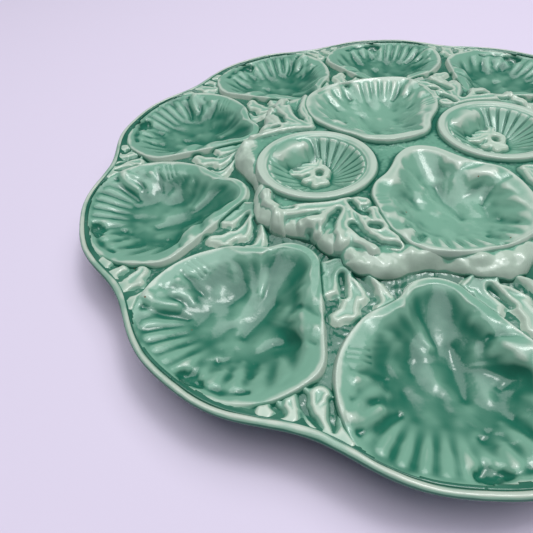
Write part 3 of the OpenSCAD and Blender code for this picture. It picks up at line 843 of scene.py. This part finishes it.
def carve_spray(name, leaves, slots, centre, half, keep_out, ground, copies, height, cell=0.5):
    """A spray over a patch of the drawing, which has a centre and half sides.

    Its grid's cells are cell millimetres wide. copies are its turns about the plate's middle.
    """
    bm = bmesh.new()
    nx, ny = int(2 * half[0] * DRAWN_R / cell), int(2 * half[1] * DRAWN_R / cell)
    bmesh.ops.create_grid(bm, x_segments=nx, y_segments=ny, size=0.5)
    middles = face_middles(bm)

    def drawn(points):
        return centre[0] + 2 * half[0] * points[:, 0], centre[1] + 2 * half[1] * points[:, 1]

    def inside(u, v):
        room = UNDER_CREST - keep_out(u * DRAWN_R, v * DRAWN_R)
        room = np.minimum(room, inside_edge(u, v) - 4.0)
        for slot in slots:
            room = np.minimum(room, -SLOT_SWELL - chain_inside(u, v, slot))
        return np.minimum(leaves_inside(u, v, leaves) + LEAF_SWELL, room)

    slab(bm, inside(*drawn(middles)) < -FEATHER)
    mesh = new_mesh(name, bm)
    co = places(mesh)
    u, v = drawn(co)
    x, y = u * DRAWN_R, v * DRAWN_R
    e = inside(u, v) + 0.3 + 0.3 * noise(x, y, 3.0, 51)
    leaf = height * smooth(-FEATHER, 1.8, e) - 0.45 * smooth(1.8, 3.4, e)
    base = ground(x, y)
    roof = RIM_TOP - 0.9 + 14 * smooth(8, 50, inside_edge(u, v))  # low beside the rim
    leaf = np.minimum(base - EDGE_DIP + leaf, np.minimum(roof, CENTRE_CREST + OVER_CREST))
    z = np.where(co[:, 2] > 0.5, leaf, base - SKIRT)
    mesh.vertices.foreach_set("co", np.stack([x, y, z], 1).ravel())
    bm = bmesh.new()
    for turn in copies:
        before = len(bm.verts)
        bm.from_mesh(mesh)
        bm.verts.ensure_lookup_table()
        bmesh.ops.rotate(bm, verts=bm.verts[before:], cent=(0, 0, 0),
                         matrix=Matrix.Rotation(turn, 3, "Z"))
    return new_mesh(name, bm)


# %% Sprays between the outer wells
def out_of_outer_wells(x, y):
    """Millimetres inside a neighbouring well, in the frame of the notch between two."""
    return np.maximum(inside_outer_well(x, y, 2), inside_outer_well(x, y, 3))


def dress_weed(node, mesh):
    dress(mesh.name, mesh, places(mesh), "glaze_relief", node)


turns = [(k + 0.5) * PITCH - math.pi / 2 for k in range(WELL_COUNT)]
bm = bmesh.new()
for kind in ((RIM_LEAVES_A, RIM_SLOTS_A, 0.13, turns[0::2]),
             (RIM_LEAVES_B, RIM_SLOTS_B, 0.14, turns[1::2])):
    leaves, slots, half_width, copies = kind
    bm.from_mesh(carve_spray("one_kind", leaves, slots, (0.0, 0.905), (half_width, 0.075),
                             out_of_outer_wells, outer_ground, copies, height=2.5))
dress_weed("rim_fronds", new_mesh("rim_fronds_weed", bm))
dress_weed("web_fronds", carve_spray(
    "web_fronds_weed", WEB_LEAVES, WEB_SLOTS, (0.010, 0.610), (0.14, 0.105),
    out_of_outer_wells, outer_ground, turns, height=2.6))
print("weed between the outer wells carved")


# %% Sprays on the raised centre and in the sauce wells
def off_the_top(x, y):
    """Millimetres inside a centre well, or beyond the raised centre's edge."""
    radius, angle = polar(x, y)
    return np.maximum(inside_centre_wells(x, y), radius - centre_edge(angle) + 1.4)


dress_weed("centre_fronds", carve_spray(
    "centre_fronds_weed", CENTRE_LEAVES, CENTRE_SLOTS, (-0.365, 0.015), (0.175, 0.450),
    off_the_top, centre_ground, (0, math.pi), height=2.7))
SPRIG_FOOT = CENTRE_CREST - SAUCE_DEPTH - 0.1
for side, middle in SAUCE_MIDDLES.items():
    leaves, slots = ([[(u + middle[0], v, w) for u, v, w in chain] for chain in chains]
                     for chains in (SPRIG_LEAVES, SPRIG_SLOTS))
    dress_weed(f"sauce_sprig_{side}", carve_spray(
        f"sauce_sprig_{side}_weed", leaves, slots, (middle[0] - 0.015, 0.02), (0.095, 0.100),
        flat(FAR_OUTSIDE), flat(SPRIG_FOOT), (0,), height=4.2, cell=0.45))
print("weed on the raised centre and in the sauce wells carved")

# %% [markdown]
# ## Where the glaze pools, and where shade is painted
# Molten glaze runs off the ridges and collects in the hollows, where it is thick and dark. How
# hollow a place is shows when its height is set against the blurred height of what is round it.
# The heights of all pieces go into one height map, which is blurred at three widths, for fine
# lines, for flutes and for whole bowls. Painted shade is added on top: the rim's steep flanks and
# a line along the foot of the raised centre are drawn darker. The result is kept on the points as
# an attribute, so that the colour follows the relief from every side.

# %% Height map of the whole plate
CELL = 0.7  # width of a cell of the height map, in millimetres
MAP_HALF = 194  # half the map's width
GRID = int(2 * MAP_HALF / CELL)


def mesh_arrays(obj):
    mesh = obj.data
    co, normal = np.empty(len(mesh.vertices) * 3), np.empty(len(mesh.vertices) * 3)
    mesh.vertices.foreach_get("co", co)
    mesh.vertex_normals.foreach_get("vector", normal)
    return co.reshape(-1, 3) / MM, normal.reshape(-1, 3)


heights = np.zeros((GRID, GRID))
for obj in pieces:
    co, normal = mesh_arrays(obj)
    co = co[normal[:, 2] > 0.05]
    i, j = ((co[:, :2] + MAP_HALF) / CELL).astype(int).T
    np.maximum.at(heights, (i, j), co[:, 2])
known = (heights > 0).astype(float)


def blurred(width):
    """The height map blurred by a bell of a width in millimetres, empty cells left out."""
    wave = np.fft.fftfreq(GRID, CELL)[:, None] ** 2 + np.fft.rfftfreq(GRID, CELL)[None, :] ** 2
    spread = np.exp(-2 * (math.pi * width) ** 2 * wave)
    total = np.fft.irfft2(np.fft.rfft2(heights * known) * spread, heights.shape)
    weight = np.fft.irfft2(np.fft.rfft2(known) * spread, heights.shape)
    return total / np.maximum(weight, 1e-3)


def read_map(table, co):
    """Value of a map at places in millimetres, between the middles of its cells."""
    p = (co[:, :2] + MAP_HALF) / CELL - 0.5
    i = np.clip(np.floor(p).astype(int), 0, GRID - 2)
    f = p - i
    x, y = i.T
    low = table[x, y] * (1 - f[:, 0]) + table[x + 1, y] * f[:, 0]
    high = table[x, y + 1] * (1 - f[:, 0]) + table[x + 1, y + 1] * f[:, 0]
    return low * (1 - f[:, 1]) + high * f[:, 1]


THICKER = {"outer_well": 0.08, "centre_well": -0.12, "sauce_well": -0.14, "sauce_sprig": -0.35,
           "raised_centre": -0.44, "fronds": -0.16}  # thicker or thinner glaze on some pieces
fine_map, flute_map, bowl_map = blurred(1.1), blurred(3.0), blurred(9.0)


def hollowness(table, co, full):
    """How far places lie under a blurred map, from -1 to 1; full is the depth that counts."""
    return np.tanh((read_map(table, co) - co[:, 2]) / full)


MEAN_POOL, UNDER_POOL = 0.50, 0.40  # how thick the glaze is on the flat and underneath
for obj in pieces:
    thicker = next((d for part, d in THICKER.items() if part in obj.name), 0.0)
    co, normal = mesh_arrays(obj)
    hollow_and_shade = 0.28 * hollowness(fine_map, co, 0.6) + 0.26 * hollowness(flute_map, co, 1.2)
    if obj.name.startswith("outer_well"):  # the thick glaze on a well's floor evens out the relief
        floor_share = smooth(5.0, 10.0, OUTER_CREST - co[:, 2])
        hollow_and_shade = hollow_and_shade * (1 - 0.4 * floor_share) + 0.06 * floor_share
    hollow_and_shade += thicker + 0.10 * hollowness(bowl_map, co, 4.0)
    if obj.name.startswith("raised_centre"):
        radius, angle = polar(*co[:, :2].T)  # thin glaze on its shoulder; a dark line of pooled glaze and painted shadow along its foot
        hollow_and_shade -= 0.18 * (1 - smooth(6.0, 16.0, centre_edge(angle) - radius))
        # painted shadow: the clay just above the outer ground is drawn dark, as well as the glaze
        # pooled there
        hollow_and_shade += 0.7 * (1 - smooth(0.2, 2.6, co[:, 2] - outer_ground(*co[:, :2].T)))
    if obj.name.startswith("rolled_rim"):
        # painted shade: the rim's steep flanks, turned from the light above, are drawn darker,
        # with some glaze run down off the ridge
        hollow_and_shade += 0.55 * (1 - smooth(0.0, 0.85, normal[:, 2]))
    pool = np.where(normal[:, 2] > -0.4, MEAN_POOL + hollow_and_shade, UNDER_POOL)
    layer = obj.data.attributes.new("pool", "FLOAT", "POINT")
    layer.data.foreach_set("value", pool.astype(np.float32))
print("height map", GRID, "cells wide,", int(known.sum()), "filled")

# %% [markdown]
# ## Glaze
# One node group holds what all the finishes share: the colour runs from pale, where the glaze
# is thin on a ridge, through a mid green to the deep green of a pool, which also takes the painted
# shade on the rim's flanks and at the centre's foot, broken by soft noise, with a few tiny brown
# specks of iron. Each material gives its three colours, how much glaze has run onto it, and how
# strongly the glaze ripples.

# %% Shared glaze group
def linear(r, g, b):
    """A colour written as it shows on a screen, from 0 to 255, as Blender's linear one."""
    def channel(c):
        c = c / 255
        return c / 12.92 if c <= 0.04045 else ((c + 0.055) / 1.055) ** 2.4
    return (channel(r), channel(g), channel(b), 1.0)


def link(tree, source, target):
    tree.links.new(source, target)


def add(tree, kind, **settings):
    node = tree.nodes.new(kind)
    for key, value in settings.items():
        setattr(node, key, value)
    return node


glaze = bpy.data.node_groups.new("pooled_glaze", "ShaderNodeTree")
for label, kind, side in (("Pale", "Color", "INPUT"), ("Mid", "Color", "INPUT"),
                          ("Deep", "Color", "INPUT"), ("Run", "Float", "INPUT"),
                          ("Color", "Color", "OUTPUT"), ("Roughness", "Float", "OUTPUT"),
                          ("Height", "Float", "OUTPUT")):
    glaze.interface.new_socket(name=label, in_out=side, socket_type="NodeSocket" + kind)
start, end = add(glaze, "NodeGroupInput"), add(glaze, "NodeGroupOutput")
coords = add(glaze, "ShaderNodeTexCoord")
pool = add(glaze, "ShaderNodeAttribute", attribute_name="pool")


def math_node(operation, a, b):
    node = add(glaze, "ShaderNodeMath", operation=operation)
    for socket, value in zip(node.inputs, (a, b)):
        if isinstance(value, (int, float)):
            socket.default_value = value
        else:
            link(glaze, value, socket)
    return node.outputs[0]


def noise_node(scale, detail):
    node = add(glaze, "ShaderNodeTexNoise")
    node.inputs["Scale"].default_value = scale
    node.inputs["Detail"].default_value = detail
    link(glaze, coords.outputs["Object"], node.inputs["Vector"])
    return node.outputs["Fac"]


def ramp_node(value, low, high):
    node = add(glaze, "ShaderNodeMapRange", interpolation_type="SMOOTHSTEP")
    link(glaze, value, node.inputs["Value"])
    node.inputs["From Min"].default_value = low
    node.inputs["From Max"].default_value = high
    return node.outputs["Result"]


def mix_node(factor, a, b):
    node = add(glaze, "ShaderNodeMix", data_type="RGBA")
    link(glaze, factor, node.inputs["Factor"])
    link(glaze, a, node.inputs[6])
    if isinstance(b, tuple):
        node.inputs[7].default_value = b
    else:
        link(glaze, b, node.inputs[7])
    return node.outputs[2]


cloud = math_node("MULTIPLY", math_node("SUBTRACT", noise_node(45, 2), 0.5), 0.30)
# the glaze's depth, which also holds the painted shade of the rim's flanks and the centre's foot
depth = math_node("ADD", math_node("ADD", pool.outputs["Fac"], start.outputs["Run"]), cloud)
tone = mix_node(ramp_node(depth, 0.10, 0.38), start.outputs["Pale"], start.outputs["Mid"])
tone = mix_node(ramp_node(depth, 0.46, 0.86), tone, start.outputs["Deep"])
cells = add(glaze, "ShaderNodeTexVoronoi")
cells.inputs["Scale"].default_value = 110
link(glaze, coords.outputs["Object"], cells.inputs["Vector"])
speck = math_node("LESS_THAN", cells.outputs["Distance"], 0.045)
rare = math_node("GREATER_THAN", noise_node(30, 0), 0.62)
tone = mix_node(math_node("MULTIPLY", speck, rare), tone, linear(110, 70, 40))
link(glaze, tone, end.inputs["Color"])
shine = math_node("ADD", math_node("MULTIPLY", noise_node(60, 2), 0.12), 0.12)
link(glaze, shine, end.inputs["Roughness"])
ripple = math_node("ADD", noise_node(220, 2), math_node("MULTIPLY", noise_node(900, 1), 0.15))
link(glaze, ripple, end.inputs["Height"])
print("the glaze group has", len(glaze.nodes), "nodes")


# %% Materials of the plate's slots
def glaze_material(name, pale, mid, deep, run, bump):
    material = bpy.data.materials.new(name)
    material.use_nodes = True
    tree = material.node_tree
    shader = tree.nodes["Principled BSDF"]
    group = add(tree, "ShaderNodeGroup")
    group.node_tree = glaze
    for label, colour in (("Pale", pale), ("Mid", mid), ("Deep", deep)):
        group.inputs[label].default_value = linear(*colour)
    group.inputs["Run"].default_value = run
    relief = add(tree, "ShaderNodeBump")
    relief.inputs["Strength"].default_value = bump
    relief.inputs["Distance"].default_value = 0.0004
    link(tree, group.outputs["Height"], relief.inputs["Height"])
    link(tree, relief.outputs["Normal"], shader.inputs["Normal"])
    link(tree, group.outputs["Color"], shader.inputs["Base Color"])
    link(tree, group.outputs["Roughness"], shader.inputs["Roughness"])
    return material


finishes = {
    "glaze_well": glaze_material("well_glaze", (172, 191, 176), (112, 158, 137),
                                 (28, 98, 78), 0.0, 0.3),
    "glaze_ground": glaze_material("ground_glaze", (166, 186, 170), (98, 150, 128),
                                   (22, 88, 70), 0.36, 0.4),
    "glaze_rim": glaze_material("rim_glaze", (174, 188, 174), (128, 164, 145),
                                (40, 98, 80), 0.10, 0.3),
    "glaze_relief": glaze_material("weed_glaze", (172, 191, 175), (122, 164, 144),
                                   (28, 98, 78), 0.0, 0.3),
    "glaze_foot": glaze_material("foot_glaze", (204, 210, 196), (140, 178, 158),
                                 (60, 120, 98), -0.10, 0.4),
}
for obj in pieces:
    obj.data.materials.clear()
    obj.data.materials.append(finishes[obj["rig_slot"]])
print(len(finishes), "finishes on", len(pieces), "pieces")

# %% [markdown]
# ## Camera
# The photograph was taken from close by, looking down on the plate past its left edge. The
# camera was fitted to the notches of the rim and to the two sauce wells: it looks from 1.6 plate
# radii away at 32 degrees above the table, tilted a little, and the plate's middle falls on the
# named pixel, well to the right of the picture's middle.

# %% Camera from the fit
PICTURE_PX = 533
FOCAL_PX = 470.3
PLATE_MIDDLE_PX = (406.75, 157.58)
ELEVATION, ROLL = 0.5569, -0.1457  # radians
DISTANCE_R = 1.5857  # from the plate's middle, in drawn radii
CREST_PLANE = 27.0  # height in millimetres that the fit is measured from
PLATE_TURN = 0.5418  # how far the plate stands turned in the photograph, in radians

away = Matrix(((1, 0, 0), (0, math.sin(ELEVATION), math.cos(ELEVATION)),
               (0, -math.cos(ELEVATION), math.sin(ELEVATION))))
half = PICTURE_PX / 2
px, py = PLATE_MIDDLE_PX
aim = Vector(((px - half) / FOCAL_PX, (half - py) / FOCAL_PX, -1)).normalized()
swing = Vector((0, 0, -1)).rotation_difference(aim).to_matrix()
world_to_camera = swing @ Matrix.Rotation(ROLL, 3, "Z") @ away
turn_back = Matrix.Rotation(-PLATE_TURN, 3, "Z")
spot = Vector((0, -math.cos(ELEVATION), math.sin(ELEVATION))) * DISTANCE_R * DRAWN_R * MM
camera_data = bpy.data.cameras.new("camera")
camera = bpy.data.objects.new("camera", camera_data)
bpy.context.scene.collection.objects.link(camera)
camera_data.sensor_width = 36.0
camera_data.lens = 36.0 * FOCAL_PX / PICTURE_PX
camera_data.clip_start = 0.01
camera.matrix_world = Matrix.LocRotScale(
    turn_back @ spot + Vector((0, 0, CREST_PLANE * MM)),
    turn_back @ world_to_camera.transposed(), None)
bpy.context.scene.camera = camera
print("camera at", [round(c, 3) for c in camera.location])

# %% [markdown]
# ## Floor and light
# The plate stands on a plain pale lavender ground. Nearly all light comes from above: a wide
# pale ceiling, which leaves only a narrow dark shadow close round the plate, and a smaller
# window high on the right, which shows in the small bright reflections.

# %% Floor
bm = bmesh.new()
bmesh.ops.create_grid(bm, x_segments=1, y_segments=1, size=6)
floor = bpy.data.objects.new("floor", new_mesh("floor", bm))
bpy.context.scene.collection.objects.link(floor)
paper = bpy.data.materials.new("pale_paper")
paper.use_nodes = True
shader = paper.node_tree.nodes["Principled BSDF"]
shader.inputs["Base Color"].default_value = linear(205, 198, 217)
shader.inputs["Roughness"].default_value = 0.9
shader.inputs["Specular IOR Level"].default_value = 0.1
floor.data.materials.append(paper)

# %% Lights
def area_light(name, azimuth, elevation, distance, size, power, colour):
    """A soft light aimed at the plate. Its azimuth is clockwise from +Y, the camera's is 211."""
    data = bpy.data.lights.new(name, "AREA")
    data.shape = "RECTANGLE"
    data.size, data.size_y = size
    data.energy = power
    data.color = colour
    light = bpy.data.objects.new(name, data)
    bpy.context.scene.collection.objects.link(light)
    a, e = math.radians(azimuth), math.radians(elevation)
    spot = Vector((math.sin(a) * math.cos(e), math.cos(a) * math.cos(e), math.sin(e)))
    light.location = spot * distance
    light.rotation_euler = (-spot).to_track_quat("-Z", "Y").to_euler()
    return light


area_light("window", 88.96, 76, 1.6, (0.5, 0.4), 7.5, (1.0, 0.99, 0.98))
area_light("ceiling", 58.96, 85, 2.0, (2.4, 2.4), 52, (1.0, 1.0, 1.0))
world = bpy.data.worlds.new("soft_room")
bpy.context.scene.world = world
world.use_nodes = True
room = world.node_tree.nodes["Background"]
room.inputs["Color"].default_value = linear(222, 210, 246)
room.inputs["Strength"].default_value = 0.14
bpy.context.scene.view_settings.view_transform = "Standard"
print("lights", [light.name for light in bpy.data.lights])
